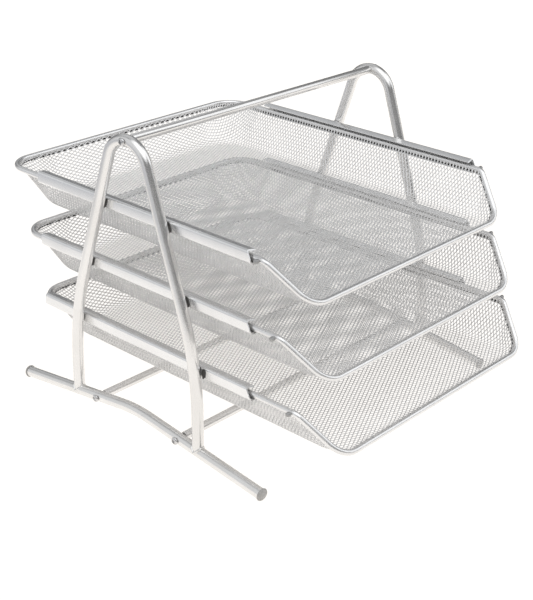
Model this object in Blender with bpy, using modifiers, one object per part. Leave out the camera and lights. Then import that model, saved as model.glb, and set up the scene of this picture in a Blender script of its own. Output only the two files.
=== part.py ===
"""Desktop file sorter: three mesh letter trays that slide in rails between two A-shaped tube frames.

Metres, +Z up. +X is to the right and -Y is the front, where the trays pull out.
The origin is the centre of the footprint at rest, on the desk.
"""
import math

import bmesh
import bpy
from mathutils import Matrix, Vector

# Driving dimensions ---------------------------------------------------------------------------
FRAME_X = 0.140            # centre of each A-frame's tube from the middle of the object
TOUCH = 0.0003             # gap between pieces that touch

TUBE_R = 0.0045            # A-frame and foot tubes
TUBE_WALL = 0.0010
LEG_HALF_SPREAD = 0.069    # upright lower legs, from the A-frame's middle plane
KNEE_Z = 0.0815            # where the slanted and upright parts of a leg would meet
KNEE_R = 0.247
PEAK_Z = 0.2883            # where the two slanted legs would meet without their bend
APEX_R = 0.0215
APEX_Z = 0.2418            # centre line of the tube at the top of the bend

FOOT_TIP_Y = 0.134         # centre of the foot tube's open ends, from the middle plane
FOOT_TIP_Z = 0.0046
FOOT_PEAK_Z = 0.0217       # where the foot's two straight runs would meet without their bend
FOOT_BEND_R = 0.120
CAP_R = 0.0051             # domed head of an end cap
CAP_HEAD = 0.0030
CAP_STEM = 0.0090
STEM_GAP = 0.0003

BAR_R = 0.0034             # handle and cross bars
BAR_BORE_R = 0.0025
CROSS_BAR_Y = {"front": -0.049, "rear": 0.043}   # from the middle plane
INSERT_R = 0.0022
INSERT_LENGTH = 0.012

SCREW_R = 0.0015
SCREW_HOLE_R = 0.0018
SCREW_HEAD_R = 0.0031
SCREW_HEAD_HEIGHT = 0.0019
SCREW_REACH = 0.0100       # how far a screw runs into its threaded insert

RAIL_BOTTOM_Z = 0.0731     # underside of the lowest pair of rails
TRAY_PITCH = 0.0531
RAIL_HEIGHT = 0.0109
RAIL_FLANGE = 0.0080
RAIL_STOOP = 0.0016        # how much the upper flange slopes down towards the tray
RAIL_BEND_R = 0.0022
RAIL_WALL = 0.0010
RAIL_FRONT = -0.1180       # from the middle plane, at the rail's lower edge
RAIL_BACK = 0.1135
RAIL_END_SLANT = 0.0050    # how much shorter the upper edge is at the front

RIM_R = 0.0023
RIM_X = 0.1302             # side rods of a tray's rim
RIM_LIFT = 0.0036          # rim's centre above the rail's underside
RIM_BACK = 0.1610          # rear rod, from the middle plane, with the tray pushed home
RIM_KINK = -0.1255         # where the side rods turn down towards the lip
RIM_CORNER_R = 0.022
KINK_R = 0.008
LIP_X = 0.113
LIP_Y = -0.1555
LIP_DROP = 0.0300
LIP_CORNER_R = 0.020

SHEET = 0.0010             # thickness of the basket's sheet
BASKET_DROP = 0.0320       # from the rim's centre to the basket's floor
BASKET_TOP = 0.0012        # the basket's edge above the rim's centre
FLOOR_HALF_WIDTH = 0.1123
FLOOR_BACK = 0.1480
FLOOR_CORNER_R = 0.028
CREASE_R = 0.005
FLOOR_HEM = 0.002          # flat strip between the lip and the floor's outline

PIN_R = 0.00175
PIN_Y = -0.1215            # stop pins, from the middle plane, with the tray pushed home
PIN_END_X = 0.1360

TRAYS = {"bottom": 0, "middle": 1, "top": 2}
PULLED_OUT = {"bottom": 0.0320, "middle": 0.0157, "top": 0.0}   # how far each stands forward at rest
SIDES = {"left": -1, "right": 1}
ENDS = {"front": -1, "rear": 1}

# The A-frames' middle plane, placed so that the footprint is centred on the origin at rest.
FRAME_Y = (PULLED_OUT["bottom"] - LIP_Y - RIM_BACK) / 2

ROUND_SIDES = 12
CAP_SIDES = 16
TUBE_RESOLUTION = 4        # bevel resolution of tubes, for 12 sides


# Scene ----------------------------------------------------------------------------------------
def clear_scene():
    for obj in list(bpy.data.objects):
        bpy.data.objects.remove(obj, do_unlink=True)


def new_collection(name):
    collection = bpy.data.collections.new(name)
    bpy.context.scene.collection.children.link(collection)
    return collection


clear_scene()
SORTER = new_collection("desktop_file_sorter")
CUTTERS = new_collection("cutters")


def material(name, color, roughness, metallic):
    made = bpy.data.materials.new(name)
    made.use_nodes = True
    shader = made.node_tree.nodes["Principled BSDF"]
    shader.inputs["Base Color"].default_value = (*color, 1.0)
    shader.inputs["Roughness"].default_value = roughness
    shader.inputs["Metallic"].default_value = metallic
    made.diffuse_color = (*color, 1.0)
    return made


FRAME_PAINT = material("frame_paint", (0.62, 0.62, 0.64), 0.30, 0.85)
RAIL_PAINT = material("rail_paint", (0.66, 0.66, 0.68), 0.32, 0.85)
BAR_PAINT = material("bar_paint", (0.60, 0.60, 0.62), 0.28, 0.85)
RIM_PAINT = material("rim_paint", (0.64, 0.64, 0.66), 0.30, 0.85)
MESH_PAINT = material("mesh_paint", (0.55, 0.54, 0.53), 0.45, 0.60)
SCREW_ZINC = material("screw_zinc", (0.70, 0.70, 0.70), 0.25, 1.0)
INSERT_STEEL = material("insert_steel", (0.45, 0.45, 0.46), 0.40, 1.0)
CAP_PLASTIC = material("cap_plastic", (0.30, 0.29, 0.28), 0.55, 0.0)


def add_object(name, data, finish, collection=SORTER):
    obj = bpy.data.objects.new(name, data)
    collection.objects.link(obj)
    if finish:
        data.materials.append(finish)
    return obj


def as_cutter(obj):
    for owner in list(obj.users_collection):
        owner.objects.unlink(obj)
    CUTTERS.objects.link(obj)
    obj.hide_render = True
    obj.display_type = "WIRE"
    return obj


def smooth(obj, angle=35):
    obj.data.shade_smooth()
    obj.data.set_sharp_from_angle(angle=math.radians(angle))


# Shapes ---------------------------------------------------------------------------------------
def fillet(corners, radii, steps, closed=False):
    """Points of a path through the corners, each turned with an arc of its radius."""
    count = len(corners)
    path = []
    for i, corner in enumerate(corners):
        if not closed and i in (0, count - 1):
            path.append(corner.copy())
            continue
        to_last = (corners[i - 1] - corner).normalized()
        to_next = (corners[(i + 1) % count] - corner).normalized()
        half = 0.5 * to_last.angle(to_next)
        if radii[i] == 0:
            path.append(corner.copy())
            continue
        centre = corner + (to_last + to_next).normalized() * (radii[i] / math.sin(half))
        reach = radii[i] / math.tan(half)
        start = (corner + to_last * reach - centre).normalized()
        end = (corner + to_next * reach - centre).normalized()
        for k in range(steps[i] + 1):
            path.append(centre + start.slerp(end, k / steps[i]) * radii[i])
    return path


def tube_curve(name, points, radius, finish, closed=False, caps=True, resolution=TUBE_RESOLUTION):
    data = bpy.data.curves.new(name, "CURVE")
    data.dimensions = "3D"
    data.bevel_depth = radius
    data.bevel_resolution = resolution
    data.use_fill_caps = caps
    spline = data.splines.new("POLY")
    spline.points.add(len(points) - 1)
    for spot, point in zip(spline.points, points):
        spot.co = (*point, 1.0)
    spline.use_cyclic_u = closed
    return add_object(name, data, finish)


def curve_to_mesh(obj):
    """The curve's surface as a welded mesh object of the same name and place."""
    name = obj.name
    place = obj.matrix_world.copy()
    finish = obj.data.materials[0] if obj.data.materials else None
    evaluated = obj.evaluated_get(bpy.context.evaluated_depsgraph_get())
    data = bpy.data.meshes.new_from_object(evaluated)
    bpy.data.objects.remove(obj, do_unlink=True)
    shape = bmesh.new()
    shape.from_mesh(data)
    bmesh.ops.remove_doubles(shape, verts=shape.verts, dist=1e-6)
    bmesh.ops.recalc_face_normals(shape, faces=shape.faces)
    shape.to_mesh(data)
    shape.free()
    data.materials.clear()
    made = add_object(name, data, finish)
    made.matrix_world = place
    return made


def hollow_tube(name, points, radius, wall, finish):
    """A bent tube, open at both ends."""
    obj = curve_to_mesh(tube_curve(name, points, radius, finish, caps=False))
    thicken = obj.modifiers.new("wall", "SOLIDIFY")
    thicken.thickness = wall
    thicken.offset = -1.0
    thicken.use_even_offset = True
    smooth(obj)
    return obj


def rod(name, start, end, radius, finish, sides=ROUND_SIDES):
    """A straight round rod between two points."""
    along = end - start
    shape = bmesh.new()
    bmesh.ops.create_cone(shape, cap_ends=True, segments=sides, radius1=radius, radius2=radius,
                          depth=along.length)
    turn = Vector((0, 0, 1)).rotation_difference(along).to_matrix().to_4x4()
    bmesh.ops.transform(shape, verts=shape.verts, matrix=turn)
    data = bpy.data.meshes.new(name)
    shape.to_mesh(data)
    shape.free()
    obj = add_object(name, data, finish)
    obj.location = (start + end) / 2
    smooth(obj)
    return obj


def turned(name, profile, finish, sides=ROUND_SIDES):
    """A solid of revolution about its own Z, from (radius, height) points, top to bottom."""
    data = bpy.data.meshes.new(name)
    points = [(radius, 0.0, height) for radius, height in profile]
    data.from_pydata(points, [(k, k + 1) for k in range(len(points) - 1)], [])
    obj = add_object(name, data, finish)
    screw = obj.modifiers.new("turn", "SCREW")
    screw.angle = math.tau
    screw.steps = sides
    screw.render_steps = sides
    screw.use_merge_vertices = True
    screw.merge_threshold = 1e-6
    screw.use_smooth_shade = False
    return obj


def point_along(obj, direction):
    """Turns an object so that its own +Z lies along the direction."""
    obj.rotation_mode = "QUATERNION"
    obj.rotation_quaternion = Vector((0, 0, 1)).rotation_difference(direction)


def cut(obj, cutter):
    boolean = obj.modifiers.new("cut_" + cutter.name, "BOOLEAN")
    boolean.operation = "DIFFERENCE"
    boolean.solver = "EXACT"
    boolean.object = cutter


# Side frames ----------------------------------------------------------------------------------
def foot_path(x):
    """The foot's centre line: two straight runs that meet in a wide bend at the middle."""
    corners = [Vector((x, FRAME_Y - FOOT_TIP_Y, FOOT_TIP_Z)), Vector((x, FRAME_Y, FOOT_PEAK_Z)),
               Vector((x, FRAME_Y + FOOT_TIP_Y, FOOT_TIP_Z))]
    return fillet(corners, [0, FOOT_BEND_R, 0], [0, 8, 0])


def foot_height(offset):
    """Height of the foot's centre line beyond its bend, at a distance from the middle plane."""
    slope = (FOOT_PEAK_Z - FOOT_TIP_Z) / FOOT_TIP_Y
    return FOOT_PEAK_Z - slope * abs(offset)


def a_frame_path(x):
    """One tube: up the rear leg, round the top bend and down the front leg."""
    foot_z = foot_height(LEG_HALF_SPREAD)
    corners = [Vector((x, FRAME_Y + LEG_HALF_SPREAD, foot_z)),
               Vector((x, FRAME_Y + LEG_HALF_SPREAD, KNEE_Z)),
               Vector((x, FRAME_Y, PEAK_Z)),
               Vector((x, FRAME_Y - LEG_HALF_SPREAD, KNEE_Z)),
               Vector((x, FRAME_Y - LEG_HALF_SPREAD, foot_z))]
    return fillet(corners, [0, KNEE_R, APEX_R, KNEE_R, 0], [0, 5, 12, 5, 0])


def screw_hole(name, x, y, z):
    reach = Vector((2 * TUBE_R, 0, 0))
    middle = Vector((x, y, z))
    return as_cutter(rod(name, middle - reach, middle + reach, SCREW_HOLE_R, None))


def side_frame(side):
    x = SIDES[side] * FRAME_X
    frame = hollow_tube(side + "_a_frame", a_frame_path(x), TUBE_R, TUBE_WALL, FRAME_PAINT)
    saddle = curve_to_mesh(tube_curve(side + "_saddle_cutter", foot_path(x), TUBE_R + TOUCH, None))
    cut(frame, as_cutter(saddle))
    cut(frame, screw_hole(side + "_handle_hole", x, FRAME_Y, APEX_Z))
    foot = hollow_tube(side + "_foot_bar", foot_path(x), TUBE_R, TUBE_WALL, FRAME_PAINT)
    for end, way in ENDS.items():
        offset = CROSS_BAR_Y[end]
        cut(foot, screw_hole(f"{end}_{side}_cross_hole", x, FRAME_Y + offset, foot_height(offset)))
        foot_cap(f"{end}_{side}_foot_cap", foot_path(x), way)


def foot_cap(name, path, way):
    """A plastic plug with a domed head, flat where it stands on the desk."""
    tip = path[-1] if way > 0 else path[0]
    before = path[-2] if way > 0 else path[1]
    outward = (tip - before).normalized()
    stem_r = TUBE_R - TUBE_WALL - STEM_GAP
    dome = [(0.0, TOUCH + CAP_HEAD)]
    for k in range(1, 6):
        angle = math.radians(90 - 18 * k)
        dome.append((CAP_R * math.cos(angle), TOUCH + 0.0008 + (CAP_HEAD - 0.0008) * math.sin(angle)))
    profile = dome + [(CAP_R, TOUCH), (stem_r, TOUCH), (stem_r, -CAP_STEM), (0.0, -CAP_STEM)]
    cap = turned(name, profile, CAP_PLASTIC, CAP_SIDES)
    cap.location = tip
    point_along(cap, outward)
    floor = box_cutter(name + "_flat_cutter", (tip.x, tip.y, -0.01), (0.03, 0.03, 0.02))
    cut(cap, floor)


def box_cutter(name, centre, size):
    shape = bmesh.new()
    bmesh.ops.create_cube(shape, size=1.0)
    bmesh.ops.scale(shape, vec=size, verts=shape.verts)
    data = bpy.data.meshes.new(name)
    shape.to_mesh(data)
    shape.free()
    obj = add_object(name, data, None)
    obj.location = centre
    return as_cutter(obj)


# Bars between the side frames -----------------------------------------------------------------
def bar(name, y, z, screw_names, insert_names):
    """A tube across the object, with a threaded insert and a screw at each end."""
    end_x = FRAME_X - TUBE_R - TOUCH
    left, right = Vector((-end_x, y, z)), Vector((end_x, y, z))
    tube = rod(name, left, right, BAR_R, BAR_PAINT)
    over = Vector((0.01, 0, 0))
    cut(tube, as_cutter(rod(name + "_bore_cutter", left - over, right + over, BAR_BORE_R, None)))
    for way, screw_name, insert_name in zip((-1, 1), screw_names, insert_names):
        outward = Vector((way, 0, 0))
        mouth = Vector((way * end_x, y, z))
        threaded_insert(insert_name, mouth - outward * 0.0005, outward)
        seat = Vector((way * (FRAME_X + TUBE_R + TOUCH), y, z))
        pan_screw(screw_name, seat, outward)


def threaded_insert(name, mouth, outward):
    """A pressed-in sleeve for the screw; its thread is left out."""
    profile = [(SCREW_HOLE_R, 0.0), (INSERT_R, 0.0), (INSERT_R, -INSERT_LENGTH),
               (SCREW_HOLE_R, -INSERT_LENGTH), (SCREW_HOLE_R, 0.0)]
    sleeve = turned(name, profile, INSERT_STEEL)
    sleeve.location = mouth
    point_along(sleeve, outward)


def pan_screw(name, seat, outward):
    length = 2 * (TUBE_R + TOUCH) + SCREW_REACH
    head = [(0.0, SCREW_HEAD_HEIGHT)]
    for k in range(1, 5):
        angle = math.radians(90 - 20 * k)
        head.append((SCREW_HEAD_R * math.cos(angle), SCREW_HEAD_HEIGHT * (0.35 + 0.65 * math.sin(angle))))
    shank = [(SCREW_HEAD_R, 0.0), (SCREW_R, 0.0), (SCREW_R, -length + SCREW_R), (0.0, -length)]
    screw = turned(name, head + shank, SCREW_ZINC)
    screw.location = seat
    point_along(screw, outward)


def bars():
    bar("handle_bar", FRAME_Y, APEX_Z,
        ("left_handle_screw", "right_handle_screw"),
        ("left_handle_insert", "right_handle_insert"))
    for end, offset in CROSS_BAR_Y.items():
        bar(end + "_cross_bar", FRAME_Y + offset, foot_height(offset),
            (end + "_left_cross_screw", end + "_right_cross_screw"),
            (end + "_left_cross_insert", end + "_right_cross_insert"))


# Rails ----------------------------------------------------------------------------------------
def rail(side, level):
    """A C-channel, open towards the tray, its front end cut on a slant."""
    way = SIDES[side]
    outer = way * (FRAME_X - TUBE_R - TOUCH)
    inner = outer - way * RAIL_FLANGE
    wall = way * RAIL_WALL
    corners = [Vector((outer, 0, 0)), Vector((outer, RAIL_HEIGHT, 0)),
               Vector((inner, RAIL_HEIGHT - RAIL_STOOP, 0)),
               Vector((inner, RAIL_HEIGHT - RAIL_STOOP - RAIL_WALL, 0)),
               Vector((outer - wall, RAIL_HEIGHT - RAIL_WALL - RAIL_STOOP * RAIL_WALL / RAIL_FLANGE, 0)),
               Vector((outer - wall, RAIL_WALL, 0)),
               Vector((inner, RAIL_WALL, 0)), Vector((inner, 0, 0))]
    inner_r = RAIL_BEND_R - RAIL_WALL
    radii = [RAIL_BEND_R, RAIL_BEND_R, 0.0, 0.0, inner_r, inner_r, 0.0, 0.0]
    outline = fillet(corners, radii, [4, 4, 0, 0, 2, 2, 0, 0], closed=True)
    name = f"{side}_{level}_rail"
    data = bpy.data.curves.new(name, "CURVE")
    data.dimensions = "2D"
    data.fill_mode = "BOTH"
    data.extrude = (RAIL_BACK - RAIL_FRONT) / 2
    spline = data.splines.new("POLY")
    spline.points.add(len(outline) - 1)
    for spot, point in zip(spline.points, outline):
        spot.co = (point.x, point.y, 0.0, 1.0)
    spline.use_cyclic_u = True
    obj = add_object(name, data, RAIL_PAINT)
    height = RAIL_BOTTOM_Z + TRAYS[level] * TRAY_PITCH
    middle = FRAME_Y + (RAIL_BACK + RAIL_FRONT) / 2
    obj.matrix_world = Matrix.Translation((0, middle, height)) @ Matrix.Rotation(math.pi / 2, 4, "X")
    bpy.context.view_layer.update()
    obj = curve_to_mesh(obj)
    tilt = math.atan2(RAIL_END_SLANT, RAIL_HEIGHT)
    block = 0.06
    lower_edge = Vector((outer, FRAME_Y + RAIL_FRONT, height))
    face = Vector((0, math.cos(tilt), -math.sin(tilt)))
    wedge = box_cutter(name + "_end_cutter", lower_edge - face * block / 2, (block, block, block))
    wedge.rotation_euler = (-tilt, 0, 0)
    cut(obj, wedge)
    smooth(obj)


# Trays ----------------------------------------------------------------------------------------
def rim_path(y, z):
    """The rim's centre line, closed: round the back, down the slants and along the lip."""
    back, kink, lip = y + RIM_BACK, y + RIM_KINK, y + LIP_Y
    corners = [Vector((-RIM_X, back, z)), Vector((RIM_X, back, z)), Vector((RIM_X, kink, z)),
               Vector((LIP_X, lip, z - LIP_DROP)), Vector((-LIP_X, lip, z - LIP_DROP)),
               Vector((-RIM_X, kink, z))]
    radii = [RIM_CORNER_R, RIM_CORNER_R, KINK_R, LIP_CORNER_R, LIP_CORNER_R, KINK_R]
    return fillet(corners, radii, [6, 6, 3, 6, 6, 3], closed=True)


def floor_corner(point, y):
    """The spot of the basket's floor outline below a point of the rim's level part."""
    rim_side = RIM_X - RIM_CORNER_R
    rim_back = y + RIM_BACK - RIM_CORNER_R
    floor_side = FLOOR_HALF_WIDTH - FLOOR_CORNER_R
    floor_back = y + FLOOR_BACK - FLOOR_CORNER_R
    if point.y > rim_back:
        share = max(-1.0, min(1.0, point.x / rim_side))
        around = Vector((point.x - share * rim_side, point.y - rim_back, 0))
        around *= FLOOR_CORNER_R / RIM_CORNER_R
        return Vector((share * floor_side + around.x, floor_back + around.y, 0))
    front = y + RIM_KINK
    along = (point.y - front) / (rim_back - front)
    return Vector((math.copysign(FLOOR_HALF_WIDTH, point.x), front + along * (floor_back - front), 0))


def basket(name, y, z):
    """The tray's sheet: sloping sides and back, a rounded crease and a flat floor."""
    path = rim_path(y, z)
    count = len(path)
    floor_z = z - BASKET_DROP
    inset = RIM_R + TOUCH + SHEET / 2
    side_lean = RIM_X - inset - FLOOR_HALF_WIDTH
    sections = []
    for i, point in enumerate(path):
        tangent = (path[(i + 1) % count] - path[i - 1]).normalized()
        inward = tangent.cross(Vector((0, 0, 1))).normalized()
        drop = (z - point.z) / LIP_DROP
        edge = point + inward * inset
        edge.z = point.z + BASKET_TOP * (1 - drop)
        if drop < 1e-4:
            crease = floor_corner(point, y)
        elif drop < 0.5:
            crease = edge - Vector((math.copysign(side_lean, point.x), 0, 0))
        else:
            crease = edge + inward * (side_lean * (1 - drop) + FLOOR_HEM * drop)
        crease.z = floor_z
        sections.append(wall_section(edge, crease, Vector((0, y, floor_z))))
    shape = bmesh.new()
    loops = [[shape.verts.new(point) for point in section] for section in sections]
    for i in range(count):
        here, there = loops[i], loops[(i + 1) % count]
        for k in range(len(here) - 1):
            shape.faces.new((here[k], there[k], there[k + 1], here[k + 1]))
    shape.faces.new([loop[-1] for loop in loops])
    bmesh.ops.recalc_face_normals(shape, faces=shape.faces)
    data = bpy.data.meshes.new(name)
    shape.to_mesh(data)
    shape.free()
    obj = add_object(name, data, MESH_PAINT)
    thicken = obj.modifiers.new("sheet", "SOLIDIFY")
    thicken.thickness = SHEET
    thicken.offset = 0.0
    smooth(obj)
    return obj


def wall_section(edge, crease, middle):
    """Points from the basket's edge down its wall and round the crease to the floor."""
    inward = (middle - crease).normalized()
    up = edge - crease
    radius = min(CREASE_R, 0.4 * up.length)
    start = crease + up.normalized() * radius
    end = crease + inward * radius
    section = [edge]
    for k in range(4):
        t = k / 3
        section.append(start.lerp(crease, t).lerp(crease.lerp(end, t), t))
    return section


def tray(level):
    y = FRAME_Y - PULLED_OUT[level]
    z = RAIL_BOTTOM_Z + TRAYS[level] * TRAY_PITCH + RIM_LIFT
    anchor = bpy.data.objects.new(level + "_tray_slide", None)
    SORTER.objects.link(anchor)
    anchor.location = (0, y, z)
    bpy.context.view_layer.update()
    rim = tube_curve(level + "_tray_rim", rim_path(y, z), RIM_R, RIM_PAINT, closed=True, caps=False)
    rim = curve_to_mesh(rim)
    smooth(rim, 60)
    pieces = [rim, basket(level + "_tray_basket", y, z)]
    for side, way in SIDES.items():
        start = Vector((way * (RIM_X + RIM_R + TOUCH), y + PIN_Y, z))
        end = Vector((way * PIN_END_X, y + PIN_Y, z))
        pieces.append(rod(f"{level}_tray_{side}_stop_pin", start, end, PIN_R, SCREW_ZINC, 12))
    for piece in pieces:
        piece.parent = anchor
        piece.matrix_parent_inverse = anchor.matrix_world.inverted()


def build():
    for side in SIDES:
        side_frame(side)
        for level in TRAYS:
            rail(side, level)
    bars()
    for level in TRAYS:
        tray(level)


build()
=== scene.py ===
"""Looks of the desktop file sorter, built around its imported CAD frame.

Metres, in the frame's own axes: +X is to the right, -Y is the front and +Z is up.
"""
import math
import random

import bpy
import numpy as np
from mathutils import Matrix, Vector


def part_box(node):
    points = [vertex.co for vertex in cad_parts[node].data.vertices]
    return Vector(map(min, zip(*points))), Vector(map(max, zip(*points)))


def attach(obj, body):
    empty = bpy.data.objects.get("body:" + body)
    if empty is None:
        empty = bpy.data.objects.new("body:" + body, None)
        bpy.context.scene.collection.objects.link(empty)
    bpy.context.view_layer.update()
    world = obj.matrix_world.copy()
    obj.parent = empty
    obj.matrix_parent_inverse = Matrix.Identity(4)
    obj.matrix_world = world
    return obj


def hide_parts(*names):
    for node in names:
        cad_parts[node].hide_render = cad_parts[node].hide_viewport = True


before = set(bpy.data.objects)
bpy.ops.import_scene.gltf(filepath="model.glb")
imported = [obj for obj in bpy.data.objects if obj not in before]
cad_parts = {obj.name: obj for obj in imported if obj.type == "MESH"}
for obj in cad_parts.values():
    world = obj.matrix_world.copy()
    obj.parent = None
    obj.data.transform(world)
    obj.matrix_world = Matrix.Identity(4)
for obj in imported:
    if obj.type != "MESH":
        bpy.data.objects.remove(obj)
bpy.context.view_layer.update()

# Shape of the tubes and rods that the frame's boxes don't tell -------------------------------------
KNEE_Z = 0.0815            # where the slanted and upright parts of a leg would meet
KNEE_R = 0.247
PEAK_Z = 0.2883            # where an A-frame's slanted legs would meet without their bend
APEX_R = 0.0215
FOOT_TIP_Y = 0.134         # open ends of a foot tube, from the A-frame's middle plane
FOOT_TIP_Z = 0.0046
FOOT_PEAK_Z = 0.0217       # where a foot's two straight runs would meet without their bend
FOOT_BEND_R = 0.120
CAP_R = 0.0051
CAP_SEAT = 0.0003          # gap between a cap and the end of its tube
CAP_ROUNDING = 0.0002      # of a cap's lower edge
CAP_BELT = 0.00058         # heights above the tube's end: where the upright belt starts,
CAP_DOME = 0.0011          # where the dome starts
CAP_HEAD = 0.0033          # and its top

BAR_BORE_R = 0.0025
BAR_ROUNDING = 0.0004      # of a bar's ends
SCREW_R = 0.0015
SCREW_HEAD_HEIGHT = 0.0019
SCREW_BELT = 0.30          # upright part of a screw's head, as a share of its height
SCREW_SEAT_EDGE = 0.0002
RECESS_HALF = 0.0020       # half length of the cross recess's blades
RECESS_THICK = 0.00056     # half their thickness
RECESS_DEEP = 0.0014
RECESS_OVER = 0.0004       # how far the cutting blades stand out of the head

RAIL_WALL = 0.0010
RAIL_BEND_R = 0.0022
RAIL_STOOP = 0.0016        # how much the upper flange slopes down towards the tray
RAIL_EDGE_R = 0.00025      # of the flanges' edges
RAIL_END_SLANT = 0.0050    # how much shorter the upper edge of a rail is at its front

RIM_R = 0.0023
RIM_CORNER_R = 0.022
KINK_AHEAD = 0.0300        # from the lip back to where the rim turns up to its level part
KINK_R = 0.008
LIP_X = 0.113
LIP_CORNER_R = 0.020

PIN_STEM = 0.0012          # how far a stop pin's stem reaches into the rim
PIN_NECK = 0.8             # a pin's stem by its radius
PIN_SHOULDER = (0.0004, 0.0006)      # from the rim's side out to the shoulder's inner and outer edge
PIN_ROUNDING = 0.0007

SHEET = 0.0010             # thickness of the frame's basket sheets
FLOOR_HALF_WIDTH = 0.1123
FLOOR_SETBACK = 0.0130     # from the rim's rear rod forward to the floor's rear crease
FLOOR_AHEAD = 0.0051       # from the lip's rod back to the floor's front crease
REAR_CORNER_R = 0.028      # corners of the floor's outline
FRONT_CORNER_R = 0.016
CREASE_R = 0.0060

# The expanded metal of the baskets ----------------------------------------------------------------
LONG_WAY = 0.00625         # a diamond's length, across the tray and up its sides
SHORT_WAY = 0.00312
STRAND_WIDTH = 0.00084
STRAND_THICKNESS = 0.00055
STRAND_SIDES = 6
STRAND_STEP = 0.0008       # between the points at which a strand is tried
STRAND_REACH = 0.26        # half length of a strand before it is cut at the mesh's edge
STRAND_FIELD = 0.24        # half width of the field of parallel strands
STRAND_BEND = math.radians(3.0)      # a strand gets a point where it has turned by more than this
OVER_UNDER = 0.2           # shift of the two directions of strands apart, by their thickness
BOND = (0.00115, 0.00066, 0.00036)   # half lengths of a bond: long way, short way, through the sheet
BOND_COLUMNS = 48          # half the counts of places for bonds, across the tray and along it
BOND_ROWS = 120
BOND_MARGIN = 0.0006       # clear of the mesh's edge
SEAM_R = 0.0007            # near-black line of painted shade between the rim's rod and the mesh
SEAM_BELOW = 0.0026        # from the mesh's edge down the mesh
SEAM_BEHIND = 0.0009       # and out behind it
EDGE_INSET = 0.0017        # the mesh's edge from the rim's centre line, inwards
EDGE_LIFT = 0.0004

# Welds --------------------------------------------------------------------------------------------
SADDLE_GAP = 0.0001        # of a leg's weld bead from the surfaces of leg and foot tube
SADDLE_BEAD_R = 0.00075
RAIL_BEAD_R = 0.0002       # a rail's weld bead at its ends, and how much it swells in its middle
RAIL_BEAD_SWELL = 0.0009
RAIL_BEAD_X = 0.0004       # from a leg's inner side outwards
RAIL_BEAD_Y = 0.0023       # from a leg's centre line
RAIL_BEAD_BOTTOM = 0.0012  # from the rail's lower side, and from its upper side
RAIL_BEAD_TOP = 0.0014

# Studio -------------------------------------------------------------------------------------------
# Brightness of the dark room, and its screens as direction, inner and outer angle and brightness
ROOM = 0.16
SCREENS = [((-0.80, 0.50, 0.25), 26, 56, 0.62),
           ((0.67, -0.52, 0.54), 17, 31, 1.10),
           ((-0.25, -0.35, 0.90), 20, 48, 1.42),
           ((0.30, 0.62, 0.72), 12, 34, 0.42)]
SCREEN_TINT = (0.965, 0.98, 1.0)
FLOOR_FALL = (-0.811, 0.585, 0.0)    # the floor gets greyer along this direction, behind the left side

TRAYS = ("top", "middle", "bottom")
SIDES = {"left": -1, "right": 1}
ENDS = {"front": -1, "rear": 1}

TUBE_SIDES = 32
ROD_SIDES = 24
CAP_SIDES = 40
PATH_STEP = 0.012          # longest straight piece of a swept tube or rod


def middle(node):
    low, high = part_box(node)
    return (low + high) / 2


def half_size(node):
    low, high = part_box(node)
    return (high - low) / 2


TUBE_R = half_size("left_a_frame").x
FRAME_X = middle("right_a_frame").x
FRAME_Y = middle("right_a_frame").y
LEG_HALF_SPREAD = half_size("right_a_frame").y - TUBE_R


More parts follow.
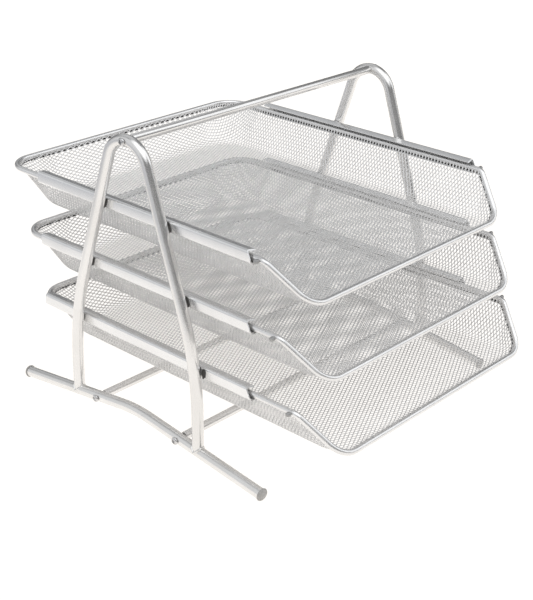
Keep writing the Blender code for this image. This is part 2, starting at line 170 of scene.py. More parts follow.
# Materials ----------------------------------------------------------------------------------------
class Nodes:
    """A material's node tree around its Principled shader."""

    def __init__(self, name, roughness, metallic, **sockets):
        self.material = bpy.data.materials.new(name)
        self.material.use_nodes = True
        self.tree = self.material.node_tree
        self.shader = self.tree.nodes["Principled BSDF"]
        self.shader.inputs["Roughness"].default_value = roughness
        self.shader.inputs["Metallic"].default_value = metallic
        for socket, value in sockets.items():
            self.shader.inputs[socket.replace("_", " ")].default_value = value
        self.place = self.tree.nodes.new("ShaderNodeTexCoord").outputs["Object"]

    def link(self, source, target):
        self.tree.links.new(source, target)

    def noise(self, scale, detail=2.0, roughness=0.5, stretch=None):
        node = self.tree.nodes.new("ShaderNodeTexNoise")
        node.inputs["Scale"].default_value = scale
        node.inputs["Detail"].default_value = detail
        node.inputs["Roughness"].default_value = roughness
        self.link(self.stretched(stretch), node.inputs["Vector"])
        return node.outputs["Fac"]

    def cells(self, scale):
        node = self.tree.nodes.new("ShaderNodeTexVoronoi")
        node.inputs["Scale"].default_value = scale
        self.link(self.place, node.inputs["Vector"])
        return node.outputs["Color"]

    def stretched(self, stretch):
        if stretch is None:
            return self.place
        node = self.tree.nodes.new("ShaderNodeMapping")
        node.inputs["Scale"].default_value = stretch
        self.link(self.place, node.inputs["Vector"])
        return node.outputs["Vector"]

    def ramp(self, value, low, high, dark, light):
        """Colours from dark to light as the value goes from low to high."""
        node = self.tree.nodes.new("ShaderNodeValToRGB")
        first, last = node.color_ramp.elements
        first.position, last.position = low, high
        first.color, last.color = (*dark, 1.0), (*light, 1.0)
        self.link(value, node.inputs["Fac"])
        return node.outputs["Color"]

    def spread(self, value, low, high, start, end):
        """A number that goes from start to end as the value goes from low to high."""
        node = self.tree.nodes.new("ShaderNodeMapRange")
        for socket, number in zip(("From Min", "From Max", "To Min", "To Max"), (low, high, start, end)):
            node.inputs[socket].default_value = number
        self.link(value, node.inputs["Value"])
        return node.outputs["Result"]

    def mix(self, share, first, second, blend="MIX"):
        node = self.tree.nodes.new("ShaderNodeMix")
        node.data_type = "RGBA"
        node.blend_type = blend
        if isinstance(share, float):
            node.inputs["Factor"].default_value = share
        else:
            self.link(share, node.inputs["Factor"])
        for socket, value in ((6, first), (7, second)):
            if isinstance(value, tuple):
                node.inputs[socket].default_value = (*value, 1.0)
            else:
                self.link(value, node.inputs[socket])
        return node.outputs[2]

    def along(self, direction):
        """Distance of a point along a direction from the origin."""
        node = self.tree.nodes.new("ShaderNodeVectorMath")
        node.operation = "DOT_PRODUCT"
        node.inputs[1].default_value = direction
        self.link(self.place, node.inputs[0])
        return node.outputs["Value"]

    def bump(self, height, strength, distance, below=None):
        node = self.tree.nodes.new("ShaderNodeBump")
        node.inputs["Strength"].default_value = strength
        node.inputs["Distance"].default_value = distance
        self.link(height, node.inputs["Height"])
        if below is not None:
            self.link(below, node.inputs["Normal"])
        return node.outputs["Normal"]

    def finish(self, color=None, roughness=None, normal=None):
        if color is not None:
            self.link(color, self.shader.inputs["Base Color"])
        if roughness is not None:
            self.link(roughness, self.shader.inputs["Roughness"])
        if normal is not None:
            self.link(normal, self.shader.inputs["Normal"])
        return self.material


def silver_paint(name, dark, light, roughness, metallic):
    """Baked silver paint: metal flakes, a faint orange peel and slow changes in tone."""
    n = Nodes(name, roughness, metallic, Coat_Weight=0.15, Coat_Roughness=0.15)
    tone = n.ramp(n.noise(24.0, 3.0), 0.35, 0.65, dark, light)
    flakes = n.cells(6500.0)
    color = n.mix(0.04, tone, flakes, "SOFT_LIGHT")
    rough = n.spread(n.noise(60.0, 4.0, 0.6), 0.3, 0.7, roughness - 0.025, roughness + 0.035)
    peel = n.bump(n.noise(420.0, 1.0), 0.03, 0.0002)
    return n.finish(color, rough, n.bump(flakes, 0.01, 0.00004, peel))


def mesh_paint():
    """The same paint, sprayed thinner and rougher on the expanded metal, with a little dust."""
    n = Nodes("mesh_paint", 0.36, 0.45)
    tone = n.ramp(n.noise(40.0, 4.0, 0.6), 0.35, 0.65, (0.75, 0.745, 0.74), (0.83, 0.825, 0.82))
    grain = n.noise(2600.0, 2.0)
    color = n.mix(n.spread(grain, 0.35, 0.65, 0.0, 0.12), tone, (0.56, 0.545, 0.53))
    rough = n.spread(grain, 0.3, 0.7, 0.30, 0.44)
    return n.finish(color, rough, n.bump(grain, 0.12, 0.00006))


def zinc():
    """Bright zinc plate with fine turning marks and darker spots."""
    n = Nodes("zinc_plate", 0.26, 1.0)
    spots = n.noise(1400.0, 3.0)
    color = n.ramp(spots, 0.38, 0.62, (0.52, 0.51, 0.50), (0.74, 0.74, 0.75))
    rough = n.spread(n.noise(2600.0, 2.0), 0.3, 0.7, 0.18, 0.34)
    return n.finish(color, rough, n.bump(n.noise(2200.0, 2.0, stretch=(8.0, 1.0, 1.0)), 0.12, 0.0001))


def tarnished_steel():
    """Dull steel of the stop pins."""
    n = Nodes("tarnished_steel", 0.40, 0.8)
    spots = n.noise(1800.0, 3.0)
    color = n.ramp(spots, 0.35, 0.65, (0.30, 0.30, 0.30), (0.48, 0.475, 0.47))
    return n.finish(color, n.spread(spots, 0.3, 0.7, 0.32, 0.5), n.bump(spots, 0.15, 0.0001))


def painted_shade_steel():
    """Near-black steel of painted shade, for the weld beads beside the legs and the line under each rim's
    rod, where the gaps lie in shade.
    """
    n = Nodes("painted_shade_steel", 0.55, 0.5)
    spots = n.noise(900.0, 4.0, 0.6)
    color = n.ramp(spots, 0.35, 0.65, (0.022, 0.020, 0.018), (0.085, 0.080, 0.074))
    return n.finish(color, n.spread(spots, 0.3, 0.7, 0.45, 0.7), n.bump(spots, 0.3, 0.0002))


def insert_steel():
    """Plain grainy steel of the pressed-in inserts."""
    n = Nodes("insert_steel", 0.38, 1.0)
    grain = n.noise(1600.0, 3.0)
    color = n.ramp(grain, 0.35, 0.65, (0.34, 0.33, 0.33), (0.50, 0.50, 0.51))
    return n.finish(color, n.spread(grain, 0.3, 0.7, 0.3, 0.48), n.bump(grain, 0.3, 0.0002))


def cap_plastic():
    """Moulded grey polyethylene: waxy, slightly clouded and scuffed."""
    n = Nodes("cap_plastic", 0.46, 0.0, Subsurface_Weight=0.12, Subsurface_Radius=(0.002, 0.0018, 0.0016))
    cloud = n.noise(420.0, 4.0, 0.6)
    tone = n.ramp(cloud, 0.35, 0.65, (0.38, 0.37, 0.355), (0.47, 0.46, 0.445))
    scuffs = n.noise(900.0, 5.0, 0.7, stretch=(1.0, 1.0, 5.0))
    color = n.mix(n.spread(scuffs, 0.56, 0.66, 0.0, 0.35), tone, (0.56, 0.55, 0.54))
    rough = n.spread(scuffs, 0.4, 0.65, 0.40, 0.60)
    return n.finish(color, rough, n.bump(n.noise(2600.0, 2.0), 0.12, 0.0001))


FRAME_PAINT = silver_paint("frame_paint", (0.78, 0.77, 0.755), (0.84, 0.83, 0.82), 0.22, 0.86)
RAIL_PAINT = silver_paint("rail_paint", (0.80, 0.80, 0.80), (0.86, 0.86, 0.86), 0.24, 0.88)
RIM_PAINT = silver_paint("rim_paint", (0.78, 0.775, 0.77), (0.84, 0.835, 0.83), 0.27, 0.82)
MESH_PAINT = mesh_paint()
ZINC = zinc()
TARNISHED_STEEL = tarnished_steel()
INSERT_STEEL = insert_steel()
CAP_PLASTIC = cap_plastic()
# near-black steel: painted shade in the gaps beside the legs and under the rims' rods
PAINTED_SHADE_STEEL = painted_shade_steel()


# Shapes: each is a list of vertices and a list of faces --------------------------------------------
def fillet(corners, radii, step_angle):
    """Points of a path or outline through the corners, each turned with an arc of its radius."""
    count = len(corners)
    path = []
    for i, corner in enumerate(corners):
        if radii[i] == 0:
            path.append(corner.copy())
            continue
        to_last = (corners[i - 1] - corner).normalized()
        to_next = (corners[(i + 1) % count] - corner).normalized()
        half = 0.5 * to_last.angle(to_next)
        centre = corner + (to_last + to_next).normalized() * (radii[i] / math.sin(half))
        reach = radii[i] / math.tan(half)
        start = (corner + to_last * reach - centre).normalized()
        end = (corner + to_next * reach - centre).normalized()
        steps = max(2, round((math.pi - 2 * half) / math.radians(step_angle)))
        for k in range(steps + 1):
            path.append(centre + start.slerp(end, k / steps) * radii[i])
    return path


def resample(path, step):
    """The same path with extra points, so that none are further apart than the step."""
    points = [path[0]]
    for here, there in zip(path, path[1:]):
        parts = max(1, math.ceil((there - here).length / step))
        points += [here.lerp(there, k / parts) for k in range(1, parts + 1)]
    return points


def sweep(path, radius, sides, across, closed=False):
    """A round rod along a path that is never parallel to the direction across."""
    count = len(path)
    radii = radius if isinstance(radius, list) else [radius] * count
    vertices, faces = [], []
    for i, point in enumerate(path):
        last = path[i - 1] if closed or i else point
        following = path[(i + 1) % count] if closed or i < count - 1 else point
        tangent = (following - last).normalized()
        side = tangent.cross(across).normalized()
        up = side.cross(tangent)
        for k in range(sides):
            turn = math.tau * k / sides
            vertices.append(point + (side * math.cos(turn) + up * math.sin(turn)) * radii[i])
    for i in range(count if closed else count - 1):
        here, there = i * sides, (i + 1) % count * sides
        for k in range(sides):
            after = (k + 1) % sides
            faces.append((here + k, here + after, there + after, there + k))
    if not closed:
        faces.append(tuple(reversed(range(sides))))
        faces.append(tuple(range((count - 1) * sides, count * sides)))
    return vertices, faces


def lathe(profile, sides, closed=False):
    """A solid of revolution about Z, from (radius, height) points with the outer side on their right."""
    vertices, faces, rings = [], [], []
    for radius, height in profile:
        start = len(vertices)
        if radius == 0:
            vertices.append(Vector((0, 0, height)))
            rings.append([start] * sides)
            continue
        for k in range(sides):
            turn = math.tau * k / sides
            vertices.append(Vector((radius * math.cos(turn), radius * math.sin(turn), height)))
        rings.append(list(range(start, start + sides)))
    pairs = list(zip(rings, rings[1:])) + ([(rings[-1], rings[0])] if closed else [])
    for here, there in pairs:
        for k in range(sides):
            after = (k + 1) % sides
            face = [here[k], there[k], there[after], here[after]]
            faces.append(tuple(dict.fromkeys(face)))
    return vertices, faces


def placed(shape, matrix):
    vertices, faces = shape
    return [matrix @ v for v in vertices], faces


def joined(shapes):
    vertices, faces = [], []
    for some, sides in shapes:
        start = len(vertices)
        vertices += some
        faces += [tuple(start + k for k in face) for face in sides]
    return vertices, faces


def facing(direction, place):
    """The matrix that turns +Z to the direction and moves the origin to the place."""
    turn = Vector((0, 0, 1)).rotation_difference(direction).to_matrix().to_4x4()
    return Matrix.Translation(place) @ turn


def as_mesh(name, shape):
    vertices, faces = shape
    data = bpy.data.meshes.new(name)
    data.from_pydata(vertices, [], faces)
    data.validate()
    return data


def piece(name, shape, finish, slot, body, *replaced, sharp=35):
    """A visible piece that rides on a body and may stand for CAD nodes."""
    data = shape if isinstance(shape, bpy.types.Mesh) else as_mesh(name, shape)
    obj = bpy.data.objects.new(name, data)
    bpy.context.scene.collection.objects.link(obj)
    data.materials.append(finish)
    data.shade_smooth()
    data.set_sharp_from_angle(angle=math.radians(sharp))
    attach(obj, body)
    if replaced:
        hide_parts(*replaced)
    return obj


# Side frames --------------------------------------------------------------------------------------
def foot_path(x):
    corners = [Vector((x, FRAME_Y - FOOT_TIP_Y, FOOT_TIP_Z)), Vector((x, FRAME_Y, FOOT_PEAK_Z)),
               Vector((x, FRAME_Y + FOOT_TIP_Y, FOOT_TIP_Z))]
    return resample(fillet(corners, [0, FOOT_BEND_R, 0], 1.0), PATH_STEP)


def foot_height(offset):
    """Height of a foot's centre line beyond its bend, at a distance from the middle plane."""
    slope = (FOOT_PEAK_Z - FOOT_TIP_Z) / FOOT_TIP_Y
    return FOOT_PEAK_Z - slope * abs(offset)


def leg_offset(z):
    """A leg's distance from the middle plane at a height on its slanted part."""
    return LEG_HALF_SPREAD * (PEAK_Z - z) / (PEAK_Z - KNEE_Z)


def side_frame(side):
    x = SIDES[side] * FRAME_X
    foot_z = foot_height(LEG_HALF_SPREAD)
    rear, front = FRAME_Y + LEG_HALF_SPREAD, FRAME_Y - LEG_HALF_SPREAD
    corners = [Vector((x, rear, foot_z)), Vector((x, rear, KNEE_Z)), Vector((x, FRAME_Y, PEAK_Z)),
               Vector((x, front, KNEE_Z)), Vector((x, front, foot_z))]
    path = resample(fillet(corners, [0, KNEE_R, APEX_R, KNEE_R, 0], 2.5), PATH_STEP)
    across = Vector((1, 0, 0))
    piece(side + "_frame_tube", sweep(path, TUBE_R, TUBE_SIDES, across),
          FRAME_PAINT, "frame_paint", "frame", side + "_a_frame")
    piece(side + "_foot_tube", sweep(foot_path(x), TUBE_R, TUBE_SIDES, across),
          FRAME_PAINT, "frame_paint", "frame", side + "_foot_bar")
    beads = [saddle_bead(x, FRAME_Y + way * LEG_HALF_SPREAD, foot_z) for way in ENDS.values()]
    piece(side + "_foot_welds", joined(beads), FRAME_PAINT, "frame_paint", "frame", sharp=60)


def saddle_bead(x, y, foot_z):
    """The weld round a leg where it stands on the foot tube."""
    draw = random.Random(round(1000 * (x + 2 * y)))
    count = 40
    reach = TUBE_R + SADDLE_GAP
    path, radii = [], []
    for k in range(count):
        turn = math.tau * k / count
        dx = reach * math.cos(turn)
        rise = math.sqrt(max(0.0, reach ** 2 - dx * dx))
        path.append(Vector((x + dx, y + reach * math.sin(turn), foot_z + rise)))
        radii.append(SADDLE_BEAD_R + 0.00016 * draw.random() + 0.00010 * math.sin(9 * turn))
    return sweep(path, radii, 10, Vector((0, 0, 1)).lerp(Vector((0.3, 0.2, 0)), 0.1), closed=True)


def foot_cap(outward, tip):
    """The visible head of a cap: a belt and a low dome, flat where it stands on the desk."""
    profile = [(0.0, CAP_SEAT), (CAP_R - CAP_ROUNDING, CAP_SEAT), (CAP_R, CAP_BELT)]
    for k in range(12):
        turn = math.radians(7.5 * k)
        profile.append((CAP_R * math.cos(turn), CAP_DOME + (CAP_HEAD - CAP_DOME) * math.sin(turn)))
    profile.append((0.0, CAP_HEAD))
    vertices, faces = placed(lathe(profile, CAP_SIDES), facing(outward, tip))
    for vertex in vertices:
        vertex.z = max(vertex.z, 0.0)
    return vertices, faces


def foot_caps():
    for side, way in SIDES.items():
        path = foot_path(way * FRAME_X)
        for end, (tip, before) in {"front": (path[0], path[1]), "rear": (path[-1], path[-2])}.items():
            shape = foot_cap((tip - before).normalized(), tip)
            piece(f"{end}_{side}_cap", shape, CAP_PLASTIC, "cap_plastic", "frame", f"{end}_{side}_foot_cap")


# Bars and screws ----------------------------------------------------------------------------------
def bar(name):
    """A tube across the object with its ends slightly rounded over."""
    centre, half = middle(name), half_size(name)
    radius, reach = half.y, half.x
    bevel, midway = BAR_ROUNDING, 0.3 * BAR_ROUNDING
    end = [(radius, reach - bevel), (radius - midway, reach - midway), (radius - bevel, reach),
           (BAR_BORE_R, reach)]
    profile = [(r, -x) for r, x in reversed(end)] + [(radius, 0.0)] + end
    shape = placed(lathe(profile, TUBE_SIDES, closed=True), facing(Vector((1, 0, 0)), centre))
    piece(name + "_tube", shape, FRAME_PAINT, "frame_paint", "frame", name)


def cross_recess():
    """Two tapered blades, crossed, that cut the recess of a cross-head screw."""
    blades = []
    for turn in (0.0, math.pi / 2):
        corners = []
        for height, shrink in ((RECESS_OVER, 1.12), (-RECESS_DEEP, 0.42)):
            for dx, dy in ((-1, -1), (1, -1), (1, 1), (-1, 1)):
                thick = RECESS_THICK * (0.7 + 0.3 * shrink)
                corners.append(Vector((dx * RECESS_HALF * shrink, dy * thick, height)))
        faces = [(0, 1, 2, 3), (7, 6, 5, 4), (0, 4, 5, 1), (1, 5, 6, 2), (2, 6, 7, 3), (3, 7, 4, 0)]
        blades.append(([Matrix.Rotation(turn, 3, "Z") @ v for v in corners], faces))
    return blades


def screw_mesh():
    """A pan-head screw with a cross recess, its seat at the origin and its head towards +Z."""
    head_r = half_size("left_handle_screw").y
    reach = 2 * half_size("left_handle_screw").x - SCREW_HEAD_HEIGHT
    profile = [(0.0, -reach), (SCREW_R, -reach + SCREW_R), (SCREW_R, -SCREW_SEAT_EDGE),
               (head_r - SCREW_SEAT_EDGE, 0.0)]
    for k in range(12):
        turn = math.radians(7.5 * k)
        share = SCREW_BELT + (1 - SCREW_BELT) * math.sin(turn) ** 1.2
        profile.append((head_r * math.cos(turn) ** 0.8, SCREW_HEAD_HEIGHT * share))
    profile.append((0.0, SCREW_HEAD_HEIGHT))
    body = bpy.data.objects.new("screw_body", as_mesh("screw_body", lathe(profile, 40)))
    bpy.context.scene.collection.objects.link(body)
    cutters = []
    for k, blade in enumerate(cross_recess()):
        vertices, faces = placed(blade, Matrix.Translation((0, 0, SCREW_HEAD_HEIGHT)))
        cutter = bpy.data.objects.new(f"blade_{k}", as_mesh(f"blade_{k}", (vertices, faces)))
        bpy.context.scene.collection.objects.link(cutter)
        cut = body.modifiers.new(f"blade_{k}", "BOOLEAN")
        cut.operation = "DIFFERENCE"
        cut.solver = "EXACT"
        cut.object = cutter
        cutters.append(cutter)
    evaluated = body.evaluated_get(bpy.context.evaluated_depsgraph_get())
    data = bpy.data.meshes.new_from_object(evaluated)
    for helper in (body, *cutters):
        bpy.data.objects.remove(helper)
    return data


def screws():
    shape = screw_mesh()
    names = ["{}_handle_screw"] + [end + "_{}_cross_screw" for end in ENDS]
    for k, (name, side) in enumerate((name, side) for name in names for side in SIDES):
        node = name.format(side)
        way = SIDES[side]
        low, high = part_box(node)
        outer = low.x if way < 0 else high.x
        seat = Vector((outer - way * SCREW_HEAD_HEIGHT, middle(node).y, middle(node).z))
        data = shape.copy()
        data.transform(facing(Vector((way, 0, 0)), seat) @ Matrix.Rotation(0.35 + 0.9 * k, 4, "Z"))
        piece(node + "_zinc", data, ZINC, "zinc_steel", "frame", node, sharp=30)


# Rails --------------------------------------------------------------------------------------------
def rail(side, level):
    """A bent channel, open towards the tray, its front end cut on a slant."""
    way = SIDES[side]
    low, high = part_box(f"{side}_{level}_rail")
    width, height = high.x - low.x, high.z - low.z
    inner_r = RAIL_BEND_R - RAIL_WALL
    tip = height - RAIL_STOOP
    under = height - RAIL_WALL - RAIL_STOOP * RAIL_WALL / width
    corners = [(0, 0), (0, height), (width, tip), (width, tip - RAIL_WALL),
               (RAIL_WALL, under), (RAIL_WALL, RAIL_WALL), (width, RAIL_WALL), (width, 0)]
    radii = [RAIL_BEND_R, RAIL_BEND_R, RAIL_EDGE_R, RAIL_EDGE_R, inner_r, inner_r, RAIL_EDGE_R, RAIL_EDGE_R]
    outline = fillet([Vector((a, 0, b)) for a, b in corners], radii, 12)
    outer = low.x if way < 0 else high.x
    stations = np.linspace(0, 1, 9)
    vertices, faces = [], []
    for share in stations:
        for point in outline:
            front = low.y + RAIL_END_SLANT * point.z / height
            y = front + (high.y - front) * share
            vertices.append(Vector((outer - way * point.x, y, low.z + point.z)))
    count = len(outline)
    for i in range(len(stations) - 1):
        for k in range(count):
            after = (k + 1) % count
            quad = (i * count + k, i * count + after, (i + 1) * count + after, (i + 1) * count + k)
            faces.append(quad if way < 0 else tuple(reversed(quad)))
    ends = [tuple(range(count)), tuple(range((len(stations) - 1) * count, len(stations) * count))]
    faces.append(tuple(reversed(ends[0])) if way < 0 else ends[0])
    faces.append(ends[1] if way < 0 else tuple(reversed(ends[1])))
    piece(f"{side}_{level}_channel", (vertices, faces), RAIL_PAINT, "rail_paint", "frame",
          f"{side}_{level}_rail", sharp=40)


def leg_place(z):
    """A leg's distance from the middle plane, from its upright part to the apex."""
    if z < KNEE_Z:
        return LEG_HALF_SPREAD
    knee_rounding = 0.0016 * math.exp(-((z - KNEE_Z) / 0.03) ** 2)
    return min(LEG_HALF_SPREAD, leg_offset(z) + knee_rounding)


def rail_shade_welds(side):
    """Upright weld beads in the corners between each rail's web and the legs, in near-black steel that
    paints the shade of those corners.
    """
    draw = random.Random(len(side))
    x = SIDES[side] * (FRAME_X - TUBE_R + RAIL_BEAD_X)
    count = 9
    beads = []
    for level in TRAYS:
        low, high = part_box(f"{side}_{level}_rail")
        stations = np.linspace(low.z + RAIL_BEAD_BOTTOM, high.z - RAIL_BEAD_TOP, count)
        for end in ENDS.values():
            for flank in (-1, 1):
                path, radii = [], []
                for k, z in enumerate(stations):
                    path.append(Vector((x, FRAME_Y + end * leg_place(z) + flank * RAIL_BEAD_Y, z)))
                    swell = math.sin(math.pi * (k + 0.5) / count) ** 0.4 * (0.85 + 0.3 * draw.random())
                    radii.append(RAIL_BEAD_R + RAIL_BEAD_SWELL * swell)
                beads.append(sweep(path, radii, 10, Vector((1, 0, 0))))
    # near-black beads: painted shade in the corners between rail and leg
    piece(side + "_rail_shade_welds", joined(beads), PAINTED_SHADE_STEEL, "frame_paint", "frame", sharp=60)


# Trays --------------------------------------------------------------------------------------------
class Tray:
    """Where one tray's rim and basket lie, from the CAD boxes of its nodes."""

    def __init__(self, level):
        low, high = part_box(level + "_tray_rim")
        self.level = level
        self.body = level + "_tray"
        self.half_width = high.x - RIM_R
        self.back = high.y - RIM_R
        self.lip = low.y + RIM_R
        self.rim_z = high.z - RIM_R
        self.lip_z = low.z + RIM_R
        self.floor_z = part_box(level + "_tray_basket")[0].z + SHEET / 2
        self.floor_back = self.back - FLOOR_SETBACK
        self.floor_front = self.lip + FLOOR_AHEAD
        self.edge = self.edge_table()

    def half_rim(self):
        """Right half of the rim, from the middle of its rear rod round to the middle of its lip."""
        kink = self.lip + KINK_AHEAD
        corners = [Vector((0, self.back, self.rim_z)), Vector((self.half_width, self.back, self.rim_z)),
                   Vector((self.half_width, kink, self.rim_z)), Vector((LIP_X, self.lip, self.lip_z)),
                   Vector((0, self.lip, self.lip_z))]
        return fillet(corners, [0, RIM_CORNER_R, KINK_R, LIP_CORNER_R, 0], 4.0)

    def rim_path(self):
        half = self.half_rim()
        mirrored = [Vector((-p.x, p.y, p.z)) for p in reversed(half[1:-1])]
        return half + mirrored

    def along_outline(self, x, y):
        """For points of the flat sheet: the nearest point inside the floor's corners, the direction out
        from it, the distance out to the point, the corner's radius and the place along half the outline."""
        ahead = y < (self.floor_front + self.floor_back) / 2
        radius = np.where(ahead, FRONT_CORNER_R, REAR_CORNER_R)
        inner_x = FLOOR_HALF_WIDTH - radius
        inner_back = self.floor_back - REAR_CORNER_R
        near_x = np.minimum(np.abs(x), inner_x)
        near_y = np.clip(y, self.floor_front + FRONT_CORNER_R, inner_back)
        out_x, out_y = np.abs(x) - near_x, y - near_y
        reach = np.maximum(np.hypot(out_x, out_y), 1e-9)
        out_x, out_y = out_x / reach, out_y / reach
        turn = np.arctan2(out_x, out_y)
        side_start = FLOOR_HALF_WIDTH - REAR_CORNER_R + REAR_CORNER_R * math.pi / 2
        along_back = near_x + REAR_CORNER_R * turn + inner_back - near_y
        along_front = (side_start + inner_back - near_y + FRONT_CORNER_R * (turn - math.pi / 2)
                       + inner_x - near_x)
        return near_x, near_y, out_x, out_y, reach, radius, np.where(ahead, along_front, along_back)

    def edge_table(self):
        """Along half of the floor's outline: how far out and how high the mesh's edge is."""
        half = resample(self.half_rim(), 0.001)
        centre = Vector((0, (self.back + self.lip) / 2, 0))
        points = []
        for i, point in enumerate(half):
            tangent = (half[min(i + 1, len(half) - 1)] - half[max(i - 1, 0)]).normalized()
            inward = tangent.cross(Vector((0, 0, -1))).normalized()
            if inward.dot(centre - Vector((point.x, point.y, 0))) < 0:
                inward.negate()
            points.append(point + inward * EDGE_INSET + Vector((0, 0, EDGE_LIFT)))
        array = np.array(points)
        *_, reach, radius, place = self.along_outline(array[:, 0], array[:, 1])
        order = np.argsort(place)
        return place[order], (reach - radius)[order], array[order, 2] - self.floor_z

    def wall(self, place):
        """Length of the basket's wall at places along the outline, and its run and rise per length."""
        run = np.interp(place, self.edge[0], self.edge[1])
        rise = np.interp(place, self.edge[0], self.edge[2])
        length = np.hypot(run, rise)
        return length, run / length, rise / length

    def outside(self, x, y):
        """How far points of the flat sheet lie beyond the mesh's edge, negative inside it."""
        *_, reach, radius, place = self.along_outline(x, y)
        return reach - radius - self.wall(place)[0]

    def drape(self, x, y):
        """Places and normals on the basket for points of the flat sheet, folded up round the floor."""
        near_x, near_y, out_x, out_y, reach, radius, place = self.along_outline(x, y)
        _, run, rise = self.wall(place)
        beyond = reach - radius
        t = np.clip((beyond + CREASE_R) / (2 * CREASE_R), 0, 1)
        bent = np.abs(beyond) < CREASE_R
        bend_run = CREASE_R * (run * t * t - (1 - t) ** 2)
        bend_rise = CREASE_R * rise * t * t
        go = np.where(bent, bend_run, np.where(beyond > 0, beyond * run, beyond))
        up = np.where(bent, bend_rise, np.where(beyond > 0, beyond * rise, 0.0))
        tilt_run = np.where(bent, run * t + 1 - t, np.where(beyond > 0, run, 1.0))
        tilt_rise = np.where(bent, rise * t, np.where(beyond > 0, rise, 0.0))
        size = np.hypot(tilt_run, tilt_rise)
        side = np.where(x < 0, -1.0, 1.0)
        reach = radius + go
        places = np.stack([side * (near_x + out_x * reach), near_y + out_y * reach, self.floor_z + up], -1)
        normals = np.stack([-side * out_x * tilt_rise, -out_y * tilt_rise, tilt_run], -1) / size[:, None]
        return places, normals


def shade_seam(t):
    """A near-black line under the rim's rod, on the outer side of the mesh: painted shade of the gap
    between rod and mesh.
    """
    rod = np.array(resample(t.rim_path(), 0.004))
    near_x, near_y, out_x, out_y, _, radius, place = t.along_outline(rod[:, 0], rod[:, 1])
    flat = radius + t.wall(place)[0] - SEAM_BELOW
    side = np.where(rod[:, 0] < 0, -1.0, 1.0)
    mesh, normals = t.drape(side * (near_x + out_x * flat), near_y + out_y * flat)
    spots = [Vector(p) for p in mesh - normals * SEAM_BEHIND]
    draw = random.Random(len(t.level))
    radii = [SEAM_R * (0.85 + 0.3 * draw.random()) for _ in spots]
    return sweep(spots, radii, 8, Vector((0.0, 0.0, 1.0)), closed=True)


def strand_lines(tray, lean):
    """The strands of one direction, as lines of points on the flat sheet, cut at the mesh's edge."""
    slope = math.atan2(SHORT_WAY, LONG_WAY) * lean
    along = np.array([math.cos(slope), math.sin(slope)])
    across = np.array([-math.sin(slope), math.cos(slope)])
    pitch = LONG_WAY * math.sin(abs(slope))
    middle_y = (tray.floor_back + tray.floor_front) / 2
    steps = np.arange(-STRAND_REACH, STRAND_REACH, STRAND_STEP)
    count = math.ceil(STRAND_FIELD / pitch)
    for k in range(-count, count + 1):
        flat = across[None, :] * (k * pitch) + steps[:, None] * along[None, :] + np.array([0, middle_y])
        beyond = tray.outside(flat[:, 0], flat[:, 1])
        inside = np.flatnonzero(beyond < 0)
        for run in np.split(inside, np.flatnonzero(np.diff(inside) > 1) + 1):
            if len(run) < 4:
                continue
            first, last = run[0], run[-1]
            line = [flat[run]]
            if first > 0:
                share = beyond[first - 1] / (beyond[first - 1] - beyond[first])
                line.insert(0, (flat[first - 1] + (flat[first] - flat[first - 1]) * share)[None])
            if last < len(flat) - 1:
                share = beyond[last] / (beyond[last] - beyond[last + 1])
                line.append((flat[last] + (flat[last + 1] - flat[last]) * share)[None])
            yield np.concatenate(line)


def kept_points(places):
    """Indices of the points that a strand needs: its ends and where it bends."""
    ways = np.diff(places, axis=0)
    ways /= np.maximum(np.linalg.norm(ways, axis=1), 1e-12)[:, None]
    kept, way = [0], ways[0]
    for i in range(1, len(ways)):
        if ways[i] @ way < math.cos(STRAND_BEND):
            kept.append(i)
            way = ways[i]
    kept.append(len(places) - 1)
    return kept


def strands(tray):
    """All strands of a basket as one set of vertices and faces."""
    turns = math.tau * (np.arange(STRAND_SIDES) + 0.5) / STRAND_SIDES
    wide = np.cos(turns) * STRAND_WIDTH / 2
    deep = np.sin(turns) * STRAND_THICKNESS / 2
    rise = STRAND_THICKNESS * OVER_UNDER
    vertices, faces, start = [], [], 0
    for lean in (1, -1):
        for line in strand_lines(tray, lean):
            places, normals = tray.drape(line[:, 0], line[:, 1])
            kept = kept_points(places)
            places, normals = places[kept], normals[kept]
            places = places + normals * (lean * rise)
            tangents = np.gradient(places, axis=0)
            tangents /= np.linalg.norm(tangents, axis=1)[:, None]
            sides = np.cross(tangents, normals)
            sides /= np.linalg.norm(sides, axis=1)[:, None]
            rings = places[:, None] + sides[:, None] * wide[:, None] + normals[:, None] * deep[:, None]
            vertices.append(rings.reshape(-1, 3))
            for i in range(len(places) - 1):
                here, there = start + i * STRAND_SIDES, start + (i + 1) * STRAND_SIDES
                for k in range(STRAND_SIDES):
                    after = (k + 1) % STRAND_SIDES
                    faces.append((here + k, there + k, there + after, here + after))
            faces.append(tuple(range(start, start + STRAND_SIDES)))
            start += len(places) * STRAND_SIDES
            faces.append(tuple(reversed(range(start - STRAND_SIDES, start))))
    return np.concatenate(vertices), faces


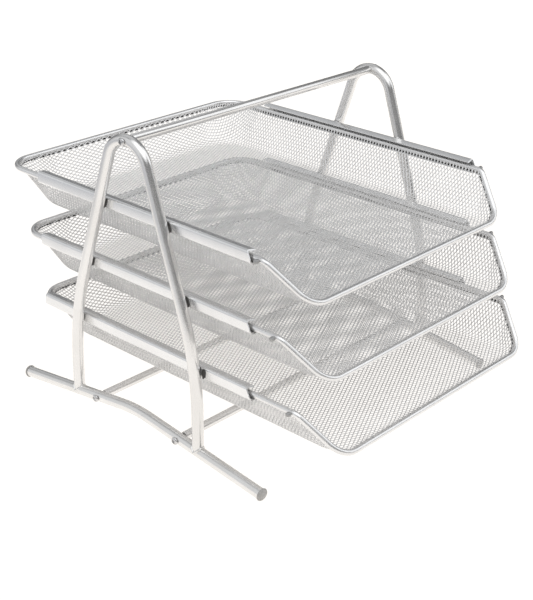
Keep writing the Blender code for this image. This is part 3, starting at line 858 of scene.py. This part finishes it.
def bonds(tray):
    """Small lozenges where the strands are still one sheet, staggered from row to row."""
    columns = np.arange(-BOND_COLUMNS, BOND_COLUMNS + 1)
    rows = np.arange(-BOND_ROWS, BOND_ROWS + 1)
    grid_x, grid_y = np.meshgrid(columns, rows)
    keep = (grid_x + grid_y) % 2 == 0
    x = grid_x[keep] * LONG_WAY / 2
    y = grid_y[keep] * SHORT_WAY / 2 + (tray.floor_back + tray.floor_front) / 2
    inside = tray.outside(x, y) < -BOND_MARGIN
    x, y = x[inside], y[inside]
    places, normals = tray.drape(x, y)
    step = LONG_WAY / 4
    ahead = tray.drape(x + step, y)[0] - tray.drape(x - step, y)[0]
    aside = tray.drape(x, y + step)[0] - tray.drape(x, y - step)[0]
    long_way = ahead / (2 * step) * BOND[0]
    short_way = aside / (2 * step) * BOND[1]
    through = normals * BOND[2]
    corners = np.stack([places + long_way, places + short_way, places - long_way, places - short_way,
                        places + through, places - through], 1)
    upper = [(k, (k + 1) % 4, 4) for k in range(4)]
    lower = [((k + 1) % 4, k, 5) for k in range(4)]
    faces = np.array(upper + lower)[None] + 6 * np.arange(len(places))[:, None, None]
    return corners.reshape(-1, 3), faces.reshape(-1, 3)


def tray(level):
    t = Tray(level)
    rim = sweep(resample(t.rim_path(), PATH_STEP), RIM_R, ROD_SIDES, Vector((0, 0, 1)), closed=True)
    piece(level + "_rim_rod", rim, RIM_PAINT, "rim_paint", t.body, level + "_tray_rim")
    # near-black line under the rod: painted shade of the gap between rod and mesh
    piece(level + "_seam", shade_seam(t), PAINTED_SHADE_STEEL, "rim_paint", t.body, sharp=60)
    vertices, faces = strands(t)
    more, triangles = bonds(t)
    faces += [tuple(face) for face in (triangles + len(vertices)).tolist()]
    shape = ([*map(tuple, vertices), *map(tuple, more)], faces)
    piece(level + "_mesh", shape, MESH_PAINT, "mesh_paint", t.body, level + "_tray_basket", sharp=25)
    for side in SIDES:
        stop_pin(level, side)


def stop_pin(level, side):
    node = f"{level}_tray_{side}_stop_pin"
    way = SIDES[side]
    low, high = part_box(node)
    centre, half = middle(node), half_size(node)
    radius, length = half.y, high.x - low.x
    foot = Vector((centre.x - way * half.x, centre.y, centre.z))
    neck = radius * PIN_NECK
    profile = [(0.0, -PIN_STEM), (neck, -PIN_STEM), (neck, PIN_SHOULDER[0]), (radius, PIN_SHOULDER[1])]
    for k in range(6):
        turn = math.radians(15 * k)
        profile.append((radius * math.cos(turn), length - PIN_ROUNDING * (1 - math.sin(turn))))
    profile.append((0.0, length))
    shape = placed(lathe(profile, 28), facing(Vector((way, 0, 0)), foot))
    piece(f"{level}_{side}_pin", shape, TARNISHED_STEEL, "zinc_steel", level + "_tray", node)


# Stage --------------------------------------------------------------------------------------------
def floor():
    size = 40.0
    corners = [Vector((a * size, b * size, 0)) for a, b in ((-1, -1), (1, -1), (1, 1), (-1, 1))]
    data = as_mesh("floor", (corners, [(0, 1, 2, 3)]))
    obj = bpy.data.objects.new("floor", data)
    bpy.context.scene.collection.objects.link(obj)
    n = Nodes("floor_white", 0.9, 0.0)
    tone = n.ramp(n.noise(2.0, 2.0), 0.3, 0.7, (0.12, 0.12, 0.12), (0.14, 0.14, 0.14))
    warm = n.ramp(n.noise(1.5, 2.0), 0.3, 0.7, (1.0, 0.965, 0.925), (1.0, 0.97, 0.935))
    shade = n.spread(n.along(FLOOR_FALL), 0.36, 0.80, 0.0, 1.0)
    n.link(n.mix(shade, warm, (0.42, 0.43, 0.46)), n.shader.inputs["Emission Color"])
    n.shader.inputs["Emission Strength"].default_value = 1.0
    data.materials.append(n.finish(tone))


def sky():
    """A dark room with soft pale screens in it."""
    world = bpy.data.worlds.new("studio")
    bpy.context.scene.world = world
    world.use_nodes = True
    tree = world.node_tree
    place = tree.nodes.new("ShaderNodeTexCoord").outputs["Generated"]
    total = None
    for direction, inner, outer, radiance in SCREENS:
        dot = tree.nodes.new("ShaderNodeVectorMath")
        dot.operation = "DOT_PRODUCT"
        dot.inputs[1].default_value = Vector(direction).normalized()
        tree.links.new(place, dot.inputs[0])
        edge = tree.nodes.new("ShaderNodeMapRange")
        edge.interpolation_type = "SMOOTHSTEP"
        edge.inputs["From Min"].default_value = math.cos(math.radians(outer))
        edge.inputs["From Max"].default_value = math.cos(math.radians(inner))
        edge.inputs["To Max"].default_value = radiance
        tree.links.new(dot.outputs["Value"], edge.inputs["Value"])
        if total is None:
            edge.inputs["To Min"].default_value = ROOM
            edge.inputs["To Max"].default_value = ROOM + radiance
            total = edge.outputs["Result"]
            continue
        add = tree.nodes.new("ShaderNodeMath")
        add.operation = "ADD"
        tree.links.new(total, add.inputs[0])
        tree.links.new(edge.outputs["Result"], add.inputs[1])
        total = add.outputs["Value"]
    tint = tree.nodes.new("ShaderNodeVectorMath")
    tint.operation = "SCALE"
    tint.inputs[0].default_value = SCREEN_TINT
    tree.links.new(total, tint.inputs["Scale"])
    tree.links.new(tint.outputs["Vector"], tree.nodes["Background"].inputs["Color"])
    tree.nodes["Background"].inputs["Strength"].default_value = 1.0


def camera():
    azimuth, elevation, roll = (math.radians(a) for a in (-47.78, 24.76, 0.875))
    back = Vector((math.sin(azimuth) * math.cos(elevation), -math.cos(azimuth) * math.cos(elevation),
                   math.sin(elevation)))
    right = Vector((0, 0, 1)).cross(back).normalized()
    up = back.cross(right)
    turned_right = right * math.cos(roll) + up * math.sin(roll)
    turned_up = up * math.cos(roll) - right * math.sin(roll)
    data = bpy.data.cameras.new("camera")
    data.lens = 75.87
    data.sensor_width = 36
    data.shift_x = -0.0041
    data.shift_y = -0.0180
    obj = bpy.data.objects.new("camera", data)
    bpy.context.scene.collection.objects.link(obj)
    turn = Matrix((turned_right, turned_up, back)).transposed().to_4x4()
    obj.matrix_world = Matrix.Translation((-0.7089, -0.6418, 0.5242)) @ turn
    bpy.context.scene.camera = obj


# Building -----------------------------------------------------------------------------------------
camera()
for side in SIDES:
    side_frame(side)
    for level in TRAYS:
        rail(side, level)
    rail_shade_welds(side)
foot_caps()
for name in ("handle_bar", "front_cross_bar", "rear_cross_bar"):
    bar(name)
screws()
for level in TRAYS:
    tray(level)
for name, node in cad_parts.items():
    if name.endswith("insert"):
        node.data.materials.clear()
        node.data.materials.append(INSERT_STEEL)
floor()
sky()
bpy.context.scene.view_settings.view_transform = "Standard"
